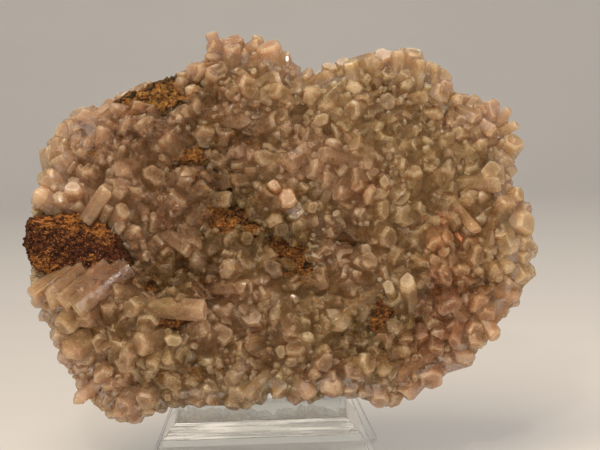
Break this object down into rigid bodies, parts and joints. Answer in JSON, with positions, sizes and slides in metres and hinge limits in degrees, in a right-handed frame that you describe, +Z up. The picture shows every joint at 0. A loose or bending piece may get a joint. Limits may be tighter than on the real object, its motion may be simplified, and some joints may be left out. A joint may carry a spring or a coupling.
{
  "type": "drusy quartz on matrix",
  "caption": "Plate of rusty limonitic rock overgrown with stubby milky quartz prisms, leaning on a clear acrylic easel.",
  "frame": {"origin": "bottom centre of the whole, on the surface that the easel stands on", "axes": "+Z up; the crystal face looks towards -Y and leans back; +X to the right as seen from the front"},
  "size_m": [0.1816, 0.086, 0.1595],
  "materials": {
    "limonitic_rock": "rough, granular, rusty brown with ochre edges",
    "milky_quartz": "milky, translucent, glassy crystal faces",
    "clear_acrylic": "clear, polished edges"
  },
  "bodies": {
    "root": {"matrix": "limonitic_rock", "crystal_crust": "milky_quartz", "stand_back": "clear_acrylic", "stand_ledge": "clear_acrylic", "stand_front": "clear_acrylic", "stand_leg": "clear_acrylic"}
  },
  "joints": []
}
